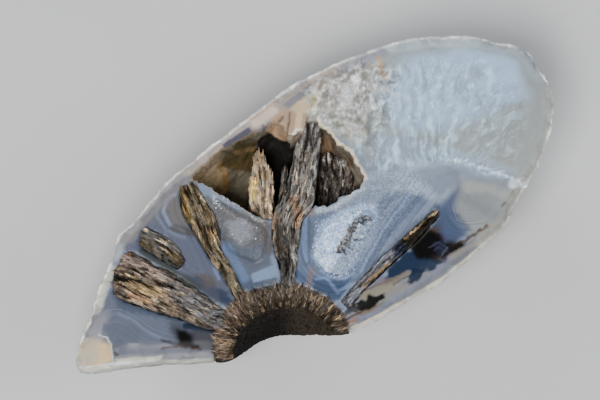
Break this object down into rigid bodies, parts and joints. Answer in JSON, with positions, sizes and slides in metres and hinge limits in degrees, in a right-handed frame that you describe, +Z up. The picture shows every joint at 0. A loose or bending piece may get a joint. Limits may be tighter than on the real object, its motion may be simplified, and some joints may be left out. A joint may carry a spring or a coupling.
{
  "type": "broken agate nodule",
  "caption": "Chunk of an agate-filled wood cast with one banded face, an open cavity, ribs of old wood, white druse and a fibrous arc round a central hollow.",
  "frame": {"origin": "middle of the bounding box, at the bottom of the stone, where it rests on its flat spot", "axes": "+Z up out of the face that shows the pattern, +X along its long way towards the broad white end, +Y away from the central hollow"},
  "size_m": [0.103, 0.0768, 0.029],
  "materials": {
    "chalcedony": "translucent blue-white banded chalcedony, waxy to glassy on its fractures",
    "pith_fibre": "dull brown mineral-stained fibres",
    "rib_wood": "rough tan to grey silicified wood with long grain",
    "dark_wood": "dull dark brown fibres",
    "white_druse": "sparkling fine white quartz crystals"
  },
  "bodies": {
    "root": {"agate_body": "chalcedony", "pith_ring": "pith_fibre", "wood_rib_wide": "rib_wood", "wood_rib_small": "rib_wood", "wood_rib_slender": "rib_wood", "wood_rib_centre": "rib_wood", "wood_rib_short": "rib_wood", "wood_splinter": "rib_wood", "wood_sheet_deep": "dark_wood", "wood_rib_long": "rib_wood", "crystal_crust": "white_druse"}
  },
  "joints": []
}
